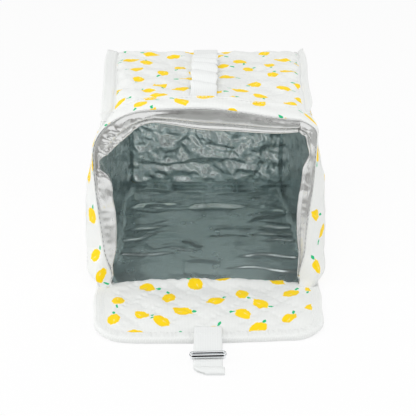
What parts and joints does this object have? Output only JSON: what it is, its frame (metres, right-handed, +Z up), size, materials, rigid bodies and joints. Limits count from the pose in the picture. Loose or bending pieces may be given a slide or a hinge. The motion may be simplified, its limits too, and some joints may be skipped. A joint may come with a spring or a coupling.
{
  "type": "lunch bag",
  "caption": "Soft insulated lunch bag lying open on its back, foil lined, with quilted cloth walls, a fold-over flap and a webbing strap with a metal slide.",
  "frame": {"origin": "middle of the back panel's resting face, on the table", "axes": "+X to the right seen from the mouth, +Y from the mouth to the base, +Z up from the table"},
  "size_m": [0.2294, 0.3752, 0.1778],
  "materials": {
    "quilted_cotton": "white quilted cotton with a scattered fruit print",
    "plain_cotton": "plain white cotton tape with rows of stitching",
    "foam": "white closed-cell foam sheet and wadding",
    "foil_lining": "crumpled aluminised film, silver",
    "webbing": "white woven webbing",
    "chrome_slide": "bright chrome plated wire"
  },
  "bodies": {
    "bag": {"front_panel": "quilted_cotton", "back_panel": "quilted_cotton", "left_gusset": "quilted_cotton", "right_gusset": "quilted_cotton", "base_panel": "quilted_cotton", "front_foam": "foam", "back_foam": "foam", "left_foam": "foam", "right_foam": "foam", "base_foam": "foam", "front_lining": "foil_lining", "back_lining": "foil_lining", "left_lining": "foil_lining", "right_lining": "foil_lining", "base_lining": "foil_lining", "mouth_band": "quilted_cotton", "mouth_facing": "foil_lining", "front_left_flange": "plain_cotton", "front_right_flange": "plain_cotton", "back_left_flange": "plain_cotton", "back_right_flange": "plain_cotton", "front_strap": "webbing"},
    "flap": {"flap_outer_cloth": "quilted_cotton", "flap_wadding": "foam", "flap_inner_cloth": "quilted_cotton", "flap_binding": "plain_cotton", "strap_anchor": "webbing"},
    "strap": {"closing_strap": "webbing"},
    "slide": {"slide_frame": "chrome_slide", "slide_bar": "chrome_slide"}
  },
  "joints": [
    {"name": "flap_fold", "type": "hinge", "parent": "bag", "child": "flap", "pos_m": [0, -0.11835, 0.0068], "axis": [-1, 0, 0], "range_deg": [0, 90]},
    {"name": "strap_fold", "type": "hinge", "parent": "flap", "child": "strap", "pos_m": [0, -0.2125, 0.0086], "axis": [-1, 0, 0], "range_deg": [0, 150]},
    {"name": "slide_travel", "type": "slide", "parent": "strap", "child": "slide", "axis": [0, -0.9903, -0.1392], "range_m": [-0.012, 0.008]}
  ]
}
